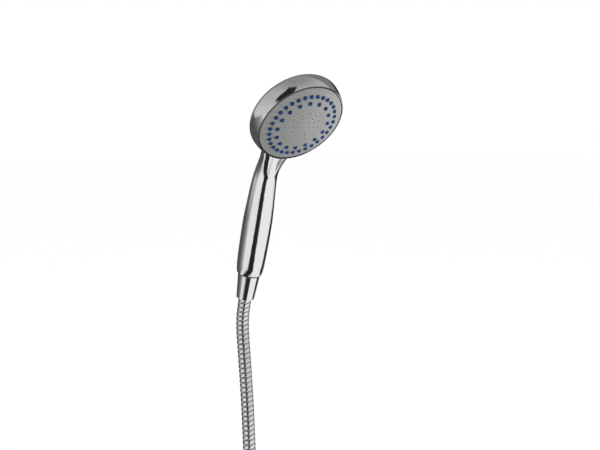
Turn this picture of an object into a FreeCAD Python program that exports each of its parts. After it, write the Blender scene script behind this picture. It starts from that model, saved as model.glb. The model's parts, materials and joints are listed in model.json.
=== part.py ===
# Handheld shower head with a turning spray face, on a 1.5 m metal hose.
#
# Millimetres, +Z up, X across, and -Y is the side that sprays. The origin is the centre of
# the handle's lower end, where the cone nut below it sits in a wall holder. The handset
# leans out from the wall as it does when it rests there, and its hose hangs below it.
import FreeCAD, Part
import math
import os

Vector = FreeCAD.Vector
ACROSS = Vector(1, 0, 0)
UP = Vector(0, 0, 1)
CENTRE = Vector(0, 0, 0)

# ---- attitude of the handset
handle_tilt = 16.8  # lean of the handle out from the wall, degrees
spray_drop = 40.8  # fall of the spray axis below level, degrees
head_reach = 180.1  # handle end to face centre, along the handle
head_forward = 47.1  # face centre in front of the handle's own line

# ---- chrome housing: handle
end_radius = 13.5
end_rounding = 0.6
shoulder_height = 10.0
shoulder_radius = 14.8
heel_height = 28.0
heel_radius = 15.4
grip_height = 50.0
grip_radius = 15.65
palm_height = 68.0
palm_radius = 15.25
taper_height = 84.0
taper_radius = 14.3
waist_radius = 13.2  # where the neck's bend starts
throat_radius = 12.3  # half way round the bend
neck_depth = 16.0  # neck centreline behind the plane of the face's edge
neck_bend_radius = 60.0
neck_half_width = 12.6
neck_half_depth = 11.6
flare_half_width = 14.6  # where the neck starts to widen towards the head
flare_half_depth = 11.6
flare_gap = 8.0  # from that section to the head's rim
root_half_width = 17.5  # where the neck runs into the head
root_half_depth = 11.6
root_overlap = 6.0  # how far inside the rim that section stands
fade_half_width = 20.0  # the neck's last section, hidden in the back of the head
fade_half_depth = 10.0
fade_overlap = 26.0
loft_degree = 3  # a higher one lets the surface bulge between sections
shell_wall = 2.4

# ---- chrome housing: head
rim_bulge = 2.4  # of the widest circle beyond the lip
rim_setback = 13.0  # widest circle behind the plane of the face's edge
back_depth = 31.0  # crown of the back behind that plane
back_shoulder = 10.0
hollow_shoulder = 8.0
lip_width = 0.6
root_fillet = 4.0

# ---- spray face, which turns in the head
face_radius = 44.8
face_gap = 0.9  # open groove between the face and the head's lip
face_dome_radius = 165.0
face_rise = 6.1  # crown of the face in front of the plane of its edge
face_wall = 2.2
face_skirt = 8.2
face_edge_rounding = 1.0
outer_ring_radius = 35.6
outer_ring_count = 32
outer_ring_start = 7.8  # degrees from the face's right to the first nozzle
inner_ring_radius = 28.2
inner_ring_count = 16
inner_ring_start = 7.8
nozzle_base_radius = 2.1
nozzle_tip_radius = 1.75
nozzle_tip_rounding = 0.4
nozzle_bore_radius = 0.55
nozzle_rise = 1.3  # tip in front of the face
nozzle_fit = 0.15  # around a nozzle in its hole
mat_wall = 1.4
mat_edge_gap = 0.1  # between the mat's edge and the face's skirt
stack_gap = 0.05  # between parts clamped one on another along a dome
centre_disc_radius = 21.6
centre_disc_fit = 0.15
centre_flange_width = 1.6
centre_flange_wall = 1.2
jet_radius = 0.6
jet_ring_radii = (6.5, 12.0, 17.0)
jet_ring_counts = (6, 12, 12)

# ---- water ways that turn with the face
chamber_fit = 0.1  # chamber plate inside the face's skirt
chamber_back = -9.4
chamber_floor = 2.0
chamber_wall = 1.5
distributor_radius = 31.0
distributor_wall = 3.5
port_circle = 20.0
port_radius = 3.3
port_step = 60.0  # degrees between two spray positions
rain_feed_circle = 28.3
jet_feed_circle = 17.0
feed_radius = 2.5
groove_width = 5.0
groove_depth = 2.0
notch_depth = 1.1
stop_circle = 25.6
stop_radius = 1.4
stop_gap = 0.3
slip_gap = 0.3  # between the turning stack and the fixed manifold

# ---- turbine behind the centre jets
axle_radius = 1.45
axle_bearing = 0.05
turbine_radius = 17.0
turbine_rim_wall = 1.1
turbine_height = 3.2
turbine_hub_radius = 3.4
turbine_end_play = 0.35
vane_count = 8
vane_wall = 0.8
vane_bow = 2.6
shutter_wall = 0.8
shutter_hub_gap = 2.2
hub_boss_radius = 3.2
pocket_depth = 1.2  # of the two blind holes that hold the axle

# ---- manifold fixed in the head
manifold_margin = 1.8  # between the manifold's edge and the head
manifold_wall = 2.4
gallery_radius = 5.1
gallery_bore = 3.1
cup_radius = 5.4
cup_depth = 7.0
cup_wall = 1.8
pivot_radius = 5.0
pivot_bearing = 0.08
pivot_thread_radius = 1.7
pivot_thread_depth = 9.0
pivot_thread_room = 0.6  # below the screw's tip
pivot_back_depth = 5.0
pivot_head_radius = 3.6
pivot_head_height = 2.1
pivot_washer_radius = 7.4
pivot_washer_wall = 0.6
pivot_head_room = 0.5
rib_count = 8
rib_wall = 1.2
rib_height = 2.6
rib_boss_gap = 0.5
screw_count = 4
screw_margin = 6.3  # screws inside the manifold's edge
screw_radius = 1.45
screw_fit = 0.05
screw_length = 9.0
screw_head_radius = 2.7
screw_head_height = 1.7
screw_hole_fit = 0.2
pan_slope = 0.6  # height and width of the slope round a screw's head
pan_slope_width = 1.2
boss_wall = 2.2
leaf_spread = 24.0  # degrees from the click spring's nose to each of its ends
leaf_circle = 36.4
leaf_nose_width = 5.0
leaf_wall = 0.4
leaf_height = 2.4
leaf_gap = 0.3  # above the manifold, and to the post that each end leans on
post_radius = 1.2
post_height = 3.0

# ---- rubber cup that seals the manifold to the turning distributor
seal_fit = 0.1
seal_height = 4.2
seal_face_gap = 0.05
seal_lip_wall = 1.5
seal_floor = 1.2
spring_radius = 3.2
spring_wire = 0.7
spring_turns = 3.0

# ---- water way up the handle
tube_outer_radius = 6.5
tube_bore_radius = 5.2
tube_depth = 18.35  # tube centreline behind the plane of the face's edge
tube_bend_radius = 60.0
tube_end_gap = 0.6  # from the tube's ends to the shoulders that they meet
spigot_fit = 0.1
spigot_length = 13.0
spigot_lead = 5.5  # from a spigot's tip to its seal
seal_section = 0.55
seal_groove_margin = 0.25
seal_squeeze_gap = 0.02  # keeps a drawn seal off the wall that it presses on

# ---- inlet connector, a half inch thread on the handle's end
plug_radius = 11.2
plug_fit = 0.05
plug_length = 20.0
plug_seal_height = 10.0
plug_seal_section = 0.9
thread_radius = 10.45
thread_length = 12.5
inlet_bore = 5.6
limiter_radius = 7.4
limiter_length = 6.0
limiter_fit = 0.05
limiter_holes = 6
limiter_hole_radius = 1.1
limiter_hole_circle = 4.6
limiter_dish_depth = 2.0
limiter_dish_wall = 0.8
connector_spigot_bore = 3.1

# ---- hose end fittings
nut_bore_radius = 10.55
nut_gap = 0.8  # shadow line between the handle and the cone nut
cone_top_radius = 12.0
cone_foot_radius = 9.7
cone_rounding = 0.5
washer_radius = 9.6
washer_bore = 6.6
washer_wall = 2.5
washer_fit = 0.25
screen_wall = 0.5
screen_fit = 0.05
ferrule_radius = 7.2
ferrule_length = 10.4
ferrule_bore = 3.8
flange_radius = 9.4
flange_wall = 2.0
swivel_wall = 1.2
swivel_fit = 0.2
hex_across_flats = 24.0
hex_height = 10.0
hex_back_wall = 2.6
hex_thread_length = 9.0
hex_play = 0.3  # between the nut's back wall and the flange that it pulls on
collar_radius = 12.6

# ---- hose
hose_radius = 7.0
hose_length = 1500.0
cone_cover = 2.0  # the hose starts this far inside the cone nut
# From the cone nut the hose runs on in the handle's line, swings back under it and hangs.
hose_start_drop = thread_length + washer_wall + flange_wall + ferrule_length
hose_route = (
    (0.0, 7.92, -26.23),
    (0.0, 13.64, -45.19),
    (0.0, 14.8, -63.6),
    (0.0, 10.3, -97.4),
    (0.0, 3.5, -159.4),
    (0.0, -0.8, -241.0),
    (0.0, -0.8, -319.0),
)
arc_share = 0.45
# The rest is wound for storage: flat against the wall, turns side by side.
coil_radius = 73.4
coil_turns = 2.5
coil_pitch = 15.0
coil_skin = 0.4
coil_rounding = 5.0
coil_pocket_gap = 0.5
hose_tail_length = 54.0
tie_width = 9.0
tie_wall = 1.0
tie_gap = 0.3

quarter_turn = 90.0
face_top = 90.0  # degrees from the face's right
face_bottom = -90.0
same_place = 0.01  # nearer than this, two places on the model are one

# ---- frames: up the handle, and out of the spray face with its Y up the face
HANDLE = FreeCAD.Placement(CENTRE, FreeCAD.Rotation(ACROSS, handle_tilt))
face_centre = HANDLE.multVec(Vector(0, -head_forward, head_reach))
HEAD = FreeCAD.Placement(face_centre, FreeCAD.Rotation(ACROSS, quarter_turn + spray_drop))
neck_turn = math.radians(spray_drop - handle_tilt)
handle_end_rise = HEAD.inverse().multVec(CENTRE).z  # handle's end in front of the face's edge

# ---- levels in the head, in front of the plane of the face's edge
manifold_front = chamber_back - distributor_wall - slip_gap
manifold_back = manifold_front - manifold_wall
distributor_back = chamber_back - distributor_wall
chamber_front = chamber_back + chamber_floor
pivot_front = chamber_back - pivot_washer_wall / 2
screw_head_front = pivot_front + pivot_washer_wall + pivot_head_height
hub_cup_top = screw_head_front + pivot_head_room + chamber_wall
mouth_radius = face_radius + face_gap
lip_radius = mouth_radius + lip_width
rim_radius = lip_radius + rim_bulge
manifold_radius = mouth_radius - manifold_margin
screw_circle = manifold_radius - screw_margin
dome_centre = face_rise - face_dome_radius
mat_outer_radius = face_radius - face_wall - mat_edge_gap
mat_inner_radius = centre_disc_radius + centre_flange_width + stack_gap


# ---- general shapes, all built about local Z
def cylinder(radius, low, high, x=0.0, y=0.0):
    return Part.makeCylinder(radius, high - low, Vector(x, y, low))


def tube(outer, inner, low, high):
    return cylinder(outer, low, high).cut(cylinder(inner, low, high))


def box(x0, x1, y0, y1, z0, z1):
    return Part.makeBox(x1 - x0, y1 - y0, z1 - z0, Vector(x0, y0, z0))


def around(count, radius, first=0.0):
    """Points evenly spaced on a circle, from the angle first in degrees."""
    for k in range(count):
        yield at_angle(radius, first + 360.0 * k / count)


def at_angle(radius, degrees, z=0.0):
    turn = math.radians(degrees)
    return Vector(radius * math.cos(turn), radius * math.sin(turn), z)


def unit(vector):
    return Vector(vector).normalize()


def turned(*corners):
    """Solid of revolution about Z through (radius, z) corners joined by straight lines."""
    points = [Vector(radius, 0, z) for radius, z in corners]
    return Part.Face(Part.makePolygon(points + points[:1])).revolve(CENTRE, UP, 360)


def bowl(radius, rim_z, crown_z, shoulder):
    """Shallow bowl: a ball's cap that runs smoothly into a rounded shoulder at the rim."""
    depth = rim_z - crown_z
    reach = radius - shoulder
    cap_radius = (reach**2 + depth**2 - shoulder**2) / (2 * (depth - shoulder))
    lean = math.asin(reach / (cap_radius - shoulder))  # of the line from the cap to the shoulder
    cap_centre = crown_z + cap_radius

    def on_shoulder(angle):
        return Vector(reach + shoulder * math.sin(angle), 0, rim_z - shoulder * math.cos(angle))

    def on_cap(angle):
        return Vector(cap_radius * math.sin(angle), 0, cap_centre - cap_radius * math.cos(angle))

    at_rim = math.pi / 2
    shoulder_points = [on_shoulder(angle) for angle in (at_rim, (at_rim + lean) / 2, lean)]
    cap_points = [on_cap(angle) for angle in (lean, lean / 2, 0)]
    middle = Vector(0, 0, rim_z)
    sides = [
        Part.Arc(*shoulder_points).toShape(),
        Part.Arc(*cap_points).toShape(),
        Part.makeLine(cap_points[-1], middle),
        Part.makeLine(middle, shoulder_points[0]),
    ]
    return Part.Face(Part.Wire(sides)).revolve(CENTRE, UP, 360)


def ball(depth):
    """Ball whose front lies the given depth behind the spray face's domed front."""
    return Part.makeSphere(face_dome_radius - depth, Vector(0, 0, dome_centre))


def dome_height(radius):
    """Front of the spray face at a radius."""
    return dome_centre + math.sqrt(face_dome_radius**2 - radius**2)


def drilled(shape, radius, places, low, high):
    holes = [cylinder(radius, low, high, place.x, place.y) for place in places]
    return shape.cut(Part.makeCompound(holes))


def seal_ring(outer_radius, section, z):
    """O-ring of a given outside radius and section radius."""
    return Part.makeTorus(outer_radius - section, section, Vector(0, 0, z))


def seal_groove(outer_radius, section, z):
    """Band to cut from a spigot so that an O-ring can lie in it."""
    half = section + seal_groove_margin
    root = outer_radius - 2 * section - seal_squeeze_gap
    return tube(outer_radius + section, root, z - half, z + half)


# ---- the line that the neck and its water way follow, in the handle's frame
def neck_line(depth, bend_radius):
    """Where the line's bend starts, for a line that ends the given depth behind the face."""
    corner = (handle_end_rise + depth) / math.sin(neck_turn)
    return corner - bend_radius * math.tan(neck_turn / 2)


def neck_point(depth, bend_radius, distance):
    """Point and lean of the line at a distance from the handle's end."""
    start = neck_line(depth, bend_radius)
    turn = min(max(distance - start, 0) / bend_radius, neck_turn)
    beyond = max(distance - start - bend_radius * neck_turn, 0)
    y = -bend_radius * (1 - math.cos(turn)) - beyond * math.sin(turn)
    z = min(distance, start) + bend_radius * math.sin(turn) + beyond * math.cos(turn)
    return Vector(0, y, z), turn


def distance_at_rim(depth, bend_radius, overlap):
    """Distance up the line at which it has come the given way inside the head's rim."""
    start = neck_line(depth, bend_radius)
    corner = start + bend_radius * math.tan(neck_turn / 2)
    corner_low = -HEAD.inverse().multVec(HANDLE.multVec(Vector(0, 0, corner))).y
    straight = corner_low - rim_radius + overlap - bend_radius * math.tan(neck_turn / 2)
    return start + bend_radius * neck_turn + straight


def section(distance, half_width, half_depth):
    """Oval wire square to the neck's line."""
    point, turn = neck_point(neck_depth, neck_bend_radius, distance)
    wire = Part.Wire(Part.Ellipse(CENTRE, half_width, half_depth).toShape())
    wire.Placement = FreeCAD.Placement(point, FreeCAD.Rotation(ACROSS, math.degrees(turn)))
    return wire


def handle_form(inset):
    """Handle and neck as one smooth body, inset from the outside by a wall."""
    bend_start = neck_line(neck_depth, neck_bend_radius)
    bend_end = bend_start + neck_bend_radius * neck_turn
    sections = (
        (0.0, end_radius, end_radius),
        (shoulder_height, shoulder_radius, shoulder_radius),
        (heel_height, heel_radius, heel_radius),
        (grip_height, grip_radius, grip_radius),
        (palm_height, palm_radius, palm_radius),
        (taper_height, taper_radius, taper_radius),
        (bend_start, waist_radius, waist_radius),
        ((bend_start + bend_end) / 2, throat_radius, throat_radius),
        (bend_end, neck_half_width, neck_half_depth),
        (rim_distance(-flare_gap), flare_half_width, flare_half_depth),
        (rim_distance(root_overlap), root_half_width, root_half_depth),
        (rim_distance(fade_overlap), fade_half_width, fade_half_depth),
    )
    wires = [section(s, width - inset, depth - inset) for s, width, depth in sections]
    form = Part.makeLoft(wires, True, False, False, loft_degree)
    form.Placement = HANDLE
    return form


def rim_distance(overlap):
    return distance_at_rim(neck_depth, neck_bend_radius, overlap)


# ---- housing
def head_form():
    """Outside of the head: a shallow bowl with a bowed rim that closes in to the lip."""
    bow = (rim_bulge**2 + rim_setback**2) / (2 * rim_bulge)
    middle = math.asin(rim_setback / bow) / 2
    rim = Vector(rim_radius, 0, -rim_setback)
    bulge = rim + Vector(bow * (math.cos(middle) - 1), 0, bow * math.sin(middle))
    lip = Vector(lip_radius, 0, 0)
    hub = Vector(0, 0, 0)
    floor = Vector(0, 0, -rim_setback)
    sides = [
        Part.Arc(rim, bulge, lip).toShape(),
        Part.makeLine(lip, hub),
        Part.makeLine(hub, floor),
        Part.makeLine(floor, rim),
    ]
    front = Part.Face(Part.Wire(sides)).revolve(CENTRE, UP, 360)
    head = front.fuse(bowl(rim_radius, -rim_setback, -back_depth, back_shoulder)).removeSplitter()
    head.Placement = HEAD
    return head


def head_cavity():
    mouth = cylinder(mouth_radius, -rim_setback, face_rise)
    hollow = mouth.fuse(bowl(mouth_radius, -rim_setback, shell_wall - back_depth, hollow_shoulder))
    hollow.Placement = HEAD
    return hollow


def screw_bosses(outside):
    """Posts that rise from the back of the head to carry the manifold."""
    posts = [
        cylinder(screw_radius + boss_wall, -back_depth, manifold_back, place.x, place.y)
        for place in around(screw_count, screw_circle, 180.0 / screw_count)
    ]
    bosses = Part.makeCompound(posts)
    bosses.Placement = HEAD
    return outside.common(bosses)


def screw_pilots():
    low = manifold_front - screw_length - screw_fit
    pilots = [
        cylinder(screw_radius + screw_fit, low, manifold_back, place.x, place.y)
        for place in around(screw_count, screw_circle, 180.0 / screw_count)
    ]
    holes = Part.makeCompound(pilots)
    holes.Placement = HEAD
    return holes


def make_housing():
    """One chromed shell from the handle's end to the head's lip."""
    handle = handle_form(0.0)
    head = head_form()
    outside = handle.fuse(head).removeSplitter()
    seam = handle.section(head)
    roots = [edge for edge in outside.Edges if lies_on(edge, seam)]
    outside = outside.makeFillet(root_fillet, roots)
    foot = [edge for edge in outside.Edges if edge.CenterOfMass.Length < same_place]
    outside = outside.makeFillet(end_rounding, foot)
    handle_hollow = handle_form(shell_wall)
    collar = cylinder(grip_radius, -end_radius, plug_length)
    collar.Placement = HANDLE
    bore = cylinder(plug_radius + plug_fit, -end_radius, plug_length)
    bore.Placement = HANDLE
    cavity = handle_hollow.cut(collar).fuse(head_cavity())
    shell = outside.cut(cavity)
    shell = shell.fuse(screw_bosses(outside)).cut(bore).cut(screw_pilots())
    return shell.removeSplitter()


def lies_on(edge, seam):
    """True if the middle of an edge lies on a seam."""
    if edge.Degenerated:
        return False
    middle = edge.valueAt((edge.FirstParameter + edge.LastParameter) / 2)
    return Part.Vertex(middle).distToShape(seam)[0] < same_place


# ---- water way from the hose to the head
def make_inlet_connector():
    """Plug in the handle's end, with a male thread below it and a spigot above."""
    tip = plug_length + spigot_length
    spigot_radius = tube_bore_radius - spigot_fit
    outside = turned(
        (0, -thread_length), (thread_radius, -thread_length), (thread_radius, 0),
        (plug_radius, 0), (plug_radius, plug_length), (spigot_radius, plug_length),
        (spigot_radius, tip), (0, tip),
    )
    way = cylinder(limiter_radius + limiter_fit, -thread_length, -thread_length + limiter_length)
    way = way.fuse(cylinder(inlet_bore, -thread_length, plug_length - shell_wall))
    way = way.fuse(cylinder(connector_spigot_bore, -thread_length, tip))
    body = outside.cut(way)
    body = body.cut(seal_groove(plug_radius + plug_fit, plug_seal_section, plug_seal_height))
    return body.cut(seal_groove(tube_bore_radius, seal_section, tip - spigot_lead))


def make_connector_seal():
    outer = plug_radius + plug_fit - seal_squeeze_gap
    return seal_ring(outer, plug_seal_section, plug_seal_height)


def make_flow_limiter():
    """Small disc that holds the flow steady, with a ring of holes round its core."""
    low = -thread_length
    disc = cylinder(limiter_radius, low, low + limiter_length)
    dish = cylinder(limiter_radius - limiter_dish_wall, low, low + limiter_dish_depth)
    places = around(limiter_holes, limiter_hole_circle)
    return drilled(disc.cut(dish), limiter_hole_radius, places, low, low + limiter_length)


def make_waterway_tube():
    """Plastic pipe from the connector's spigot to the manifold's, bent where the neck bends."""
    low = plug_length + tube_end_gap
    start = neck_line(tube_depth, tube_bend_radius)
    bend_end = start + tube_bend_radius * neck_turn
    top = neck_point(tube_depth, tube_bend_radius, tube_top_distance())[0]
    foot = Vector(0, 0, low)
    bend = [
        neck_point(tube_depth, tube_bend_radius, s)[0]
        for s in (start, (start + bend_end) / 2, bend_end)
    ]
    line = Part.Wire([
        Part.makeLine(foot, bend[0]),
        Part.Arc(*bend).toShape(),
        Part.makeLine(bend[2], top),
    ])
    rings = [
        Part.Wire(Part.Circle(foot, UP, radius).toShape())
        for radius in (tube_outer_radius, tube_bore_radius)
    ]
    outer, inner = [line.makePipeShell([ring], True, True) for ring in rings]
    return outer.cut(inner)


def tube_top_distance():
    """Distance up the tube's line at which it meets the manifold's shoulder."""
    return distance_at_rim(tube_depth, tube_bend_radius, rim_radius - gallery_shoulder())


def gallery_shoulder():
    """How far below the face's centre the manifold's edge and the tube's end lie."""
    return manifold_radius + tube_end_gap


def make_tube_seals():
    """O-rings in the two spigots that the tube slips over."""
    outer = tube_bore_radius - seal_squeeze_gap
    low = seal_ring(outer, seal_section, plug_length + spigot_length - spigot_lead)
    low.Placement = HANDLE
    high = seal_ring(outer, seal_section, spigot_length - spigot_lead)
    high.Placement = HEAD.multiply(gallery_axis())
    return Part.makeCompound([low, high])


def gallery_axis():
    """Frame at the manifold's edge, with Z along the gallery and away from the head's centre."""
    base = Vector(0, -manifold_radius, -tube_depth)
    return FreeCAD.Placement(base, FreeCAD.Rotation(ACROSS, quarter_turn))


# ---- manifold
def make_manifold():
    """Fixed plate that takes the water from the tube and offers it to the distributor."""
    plate = cylinder(manifold_radius, manifold_back, manifold_front)
    inward = manifold_radius - port_circle + gallery_bore
    gallery = cylinder(gallery_radius, -inward - gallery_bore, spigot_length)
    gallery.Placement = gallery_axis()
    cup_low = manifold_front - cup_depth
    cup = cylinder(cup_radius + cup_wall, cup_low - cup_wall, manifold_front, 0, -port_circle)
    pivot = cylinder(pivot_radius, manifold_back - pivot_back_depth, pivot_front)
    body = plate.fuse([gallery, cup, pivot] + manifold_ribs() + manifold_posts())

    way = cylinder(gallery_bore, -inward, spigot_length)
    way.Placement = gallery_axis()
    groove = seal_groove(tube_bore_radius, seal_section, spigot_length - spigot_lead)
    groove.Placement = gallery_axis()
    pocket = cylinder(cup_radius, cup_low, manifold_front, 0, -port_circle)
    thread = cylinder(pivot_thread_radius, pivot_front - pivot_thread_depth, pivot_front)
    body = body.cut([way, groove, pocket, thread])
    places = list(around(screw_count, screw_circle, 180.0 / screw_count))
    return drilled(body, screw_radius + screw_hole_fit, places, manifold_back, manifold_front)


def manifold_ribs():
    """Spokes that stiffen the back of the plate."""
    length = screw_circle - screw_radius - boss_wall - rib_boss_gap
    rib = box(0, length, -rib_wall / 2, rib_wall / 2, manifold_back - rib_height, manifold_back)
    return [rib.rotated(CENTRE, UP, 360.0 * k / rib_count) for k in range(rib_count)]


def manifold_posts():
    """Stop for the distributor's slot, and a post behind each end of the click spring."""
    stop_top = manifold_front + slip_gap + distributor_wall / 2
    top = manifold_front + post_height
    posts = [cylinder(stop_radius, manifold_back, stop_top, 0, stop_circle)]
    for side in (-1, 1):
        outward = leaf_wall / 2 + leaf_gap + post_radius
        place = at_angle(leaf_circle + outward, face_top + side * leaf_spread)
        posts.append(cylinder(post_radius, manifold_back, top, place.x, place.y))
    return posts


def make_screw(radius, tip, seat, head_radius, head_height):
    """Screw with a pan head whose edge slopes in to the top."""
    top = seat + head_height
    return turned(
        (0, tip), (radius, tip), (radius, seat), (head_radius, seat),
        (head_radius, top - pan_slope), (head_radius - pan_slope_width, top), (0, top),
    )


def make_manifold_screws():
    """Four small screws from the manifold into the posts behind it."""
    tip = manifold_front - screw_length
    screw = make_screw(screw_radius, tip, manifold_front, screw_head_radius, screw_head_height)
    places = around(screw_count, screw_circle, 180.0 / screw_count)
    return Part.makeCompound([screw.translated(place) for place in places])


def make_port_seal():
    """Rubber cup that a spring holds against the back of the distributor."""
    top = distributor_back - seal_face_gap
    radius = cup_radius - seal_fit
    cup = cylinder(radius, top - seal_height, top, 0, -port_circle)
    mouth = cylinder(radius - seal_lip_wall, top - seal_height + seal_floor, top, 0, -port_circle)
    way = cylinder(feed_radius, top - seal_height, top, 0, -port_circle)
    return cup.cut(mouth).cut(way)


def make_port_spring():
    """Flat-wire spring between the cup and the bottom of its pocket."""
    low = manifold_front - cup_depth
    high = distributor_back - seal_face_gap - seal_height
    rise = high - low - spring_wire
    helix = Part.makeHelix(rise / spring_turns, rise, spring_radius)
    half = spring_wire / 2
    wire_section = Part.makePolygon([
        Vector(spring_radius - half, 0, -half), Vector(spring_radius + half, 0, -half),
        Vector(spring_radius + half, 0, half), Vector(spring_radius - half, 0, half),
        Vector(spring_radius - half, 0, -half),
    ])
    spring = Part.Wire(helix).makePipeShell([wire_section], True, True)
    return spring.translated(Vector(0, -port_circle, low + half))


def make_click_spring():
    """Thin steel leaf whose nose drops into the distributor's notches."""
    nose = Vector(0, notch_nose_radius(), 0)
    ends = [at_angle(leaf_circle, face_top + side * leaf_spread) for side in (-1, 1)]
    half = leaf_nose_width / 2
    knees = [Vector(-side * half, leaf_knee_radius(), 0) for side in (-1, 1)]
    spine = Part.makePolygon([ends[0], knees[0], nose, knees[1], ends[1]])
    strip = Part.Face(spine.makeOffset2D(leaf_wall / 2, 2, False, False))
    low = manifold_front + leaf_gap
    return strip.extrude(Vector(0, 0, leaf_height)).translated(Vector(0, 0, low))


def notch_nose_radius():
    return distributor_radius - notch_depth / 2 + leaf_wall


def leaf_knee_radius():
    return distributor_radius + leaf_wall + leaf_gap


def make_pivot_screw():
    """Screw that holds the turning stack on the manifold's pivot."""
    seat = pivot_front + pivot_washer_wall
    tip = pivot_front - pivot_thread_depth + pivot_thread_room
    return make_screw(pivot_thread_radius - screw_fit, tip, seat, pivot_head_radius, pivot_head_height)


def make_pivot_washer():
    front = pivot_front + pivot_washer_wall
    return tube(pivot_washer_radius, pivot_thread_radius, pivot_front, front)


# ---- turning stack
def make_distributor():
    """Disc with a port for each spray position, notches for the click and a slot for the stop."""
    body = tube(distributor_radius, pivot_radius + pivot_bearing, distributor_back, chamber_back)
    recess_floor = pivot_front - stop_gap / 2
    body = body.cut(cylinder(pivot_washer_radius + slip_gap, recess_floor, chamber_back))
    body = drilled(body, port_radius, port_places(), distributor_back, chamber_back)
    grooves = [
        box(port_circle, rain_feed_circle + feed_radius, -groove_width / 2, groove_width / 2,
            chamber_back - groove_depth, chamber_back).rotated(CENTRE, UP, angle)
        for angle in (face_bottom, face_bottom - port_step)
    ]
    return body.cut(grooves + [stop_slot()] + notches())


def port_places():
    return [at_angle(port_circle, face_bottom + k * port_step) for k in (-1, 0, 1)]


def stop_slot():
    """Curved slot that lets the stack turn one spray position each way."""
    width = stop_radius + stop_gap
    end = port_step + math.degrees(stop_gap / stop_circle)
    band = tube(stop_circle + width, stop_circle - width, distributor_back, chamber_back)
    reach = distributor_radius * 2
    sector = Part.makePolygon([
        CENTRE, at_angle(reach, face_top - end), Vector(0, reach, 0), at_angle(reach, face_top + end), CENTRE,
    ])
    wedge = Part.Face(sector).extrude(Vector(0, 0, distributor_wall))
    slot = band.common(wedge.translated(Vector(0, 0, distributor_back)))
    caps = []
    for angle in (face_top - end, face_top + end):
        place = at_angle(stop_circle, angle)
        caps.append(cylinder(width, distributor_back, chamber_back, place.x, place.y))
    return slot.fuse(caps)


def notches():
    """Vee notches in the rim, one for each spray position."""
    deep = distributor_radius - notch_depth
    open_at = distributor_radius + leaf_wall
    half = leaf_nose_width / 2
    vee = Part.makePolygon([
        Vector(0, deep, 0), Vector(half, open_at, 0), Vector(-half, open_at, 0),
        Vector(0, deep, 0),
    ])
    cutter = Part.Face(vee).extrude(Vector(0, 0, distributor_wall))
    cutter = cutter.translated(Vector(0, 0, distributor_back))
    return [cutter.rotated(CENTRE, UP, k * port_step) for k in (-1, 0, 1)]


def make_chamber_plate():
    """Plate whose walls part the rain chamber from the jets' chamber in the middle."""
    outer = face_radius - face_wall - chamber_fit
    disc_edge = centre_disc_radius + centre_flange_width
    floor = cylinder(outer, chamber_back, chamber_front)
    walls = tube(outer, outer - chamber_wall, chamber_back, face_rise)
    walls = walls.common(ball(face_wall + mat_wall + 2 * stack_gap))
    divider = tube(disc_edge, disc_edge - chamber_wall, chamber_back, face_rise)
    divider = divider.common(ball(face_wall + centre_flange_wall + 2 * stack_gap))
    hood_radius = pivot_washer_radius + slip_gap
    hood = cylinder(hood_radius + chamber_wall, chamber_back, hub_cup_top)
    head_room = cylinder(hood_radius, chamber_back, hub_cup_top - chamber_wall)
    axle_hole = cylinder(axle_radius, hub_cup_top - pocket_depth, hub_cup_top)
    body = floor.fuse([walls, divider, hood]).cut([head_room, axle_hole])
    rain_feeds = [at_angle(rain_feed_circle, turn) for turn in (face_bottom, face_bottom - port_step)]
    jet_feeds = [at_angle(jet_feed_circle, face_bottom + side * port_step) for side in (-1, 1)]
    return drilled(body, feed_radius, rain_feeds + jet_feeds, chamber_back, chamber_front)


def make_nozzle_mat():
    """Soft mat with every nozzle moulded on it, clamped behind the face plate."""
    band = tube(mat_outer_radius, mat_inner_radius, -face_skirt, face_rise)
    mat = band.common(ball(face_wall + stack_gap)).cut(ball(face_wall + stack_gap + mat_wall))
    nozzles = [nozzle(radius).translated(place) for radius, places in nozzle_rings() for place in places]
    places = [place for ring in nozzle_rings() for place in ring[1]]
    return drilled(mat.fuse(nozzles), nozzle_bore_radius, places, -face_skirt, face_rise + nozzle_rise)


def nozzle(radius):
    """Tapered nozzle for a ring of the given radius, rounded at its tip and not yet drilled."""
    low = dome_height(radius) - face_wall - mat_wall
    high = dome_height(radius) + nozzle_rise
    cone = Part.makeCone(nozzle_base_radius, nozzle_tip_radius, high - low, Vector(0, 0, low))
    tip = max(cone.Edges, key=lambda edge: edge.BoundBox.ZMin)
    return cone.makeFillet(nozzle_tip_rounding, [tip])


def nozzle_rings():
    """Radius and places of each ring of nozzles."""
    return (
        (outer_ring_radius, list(around(outer_ring_count, outer_ring_radius, outer_ring_start))),
        (inner_ring_radius, list(around(inner_ring_count, inner_ring_radius, inner_ring_start))),
    )


def make_face_plate():
    """Domed plate with a hole for every nozzle and a skirt that runs in the head's mouth."""
    outside = cylinder(face_radius, -face_skirt, face_rise).common(ball(0.0))
    rims = [edge for edge in outside.Edges if is_circle(edge, face_radius)]
    front_rim = max(rims, key=lambda edge: edge.BoundBox.ZMin)
    outside = outside.makeFillet(face_edge_rounding, [front_rim])
    hollow = cylinder(face_radius - face_wall, -face_skirt, face_rise).common(ball(face_wall))
    plate = outside.cut(hollow)
    plate = plate.cut(cylinder(centre_disc_radius + centre_disc_fit, -face_skirt, face_rise))
    places = [place for ring in nozzle_rings() for place in ring[1]]
    return drilled(plate, nozzle_base_radius + nozzle_fit, places, -face_skirt, face_rise)


def is_circle(edge, radius):
    """True for a round edge of the given radius."""
    if edge.Degenerated or edge.Curve.TypeId != "Part::GeomCircle":
        return False
    return abs(edge.Curve.Radius - radius) < same_place


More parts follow.
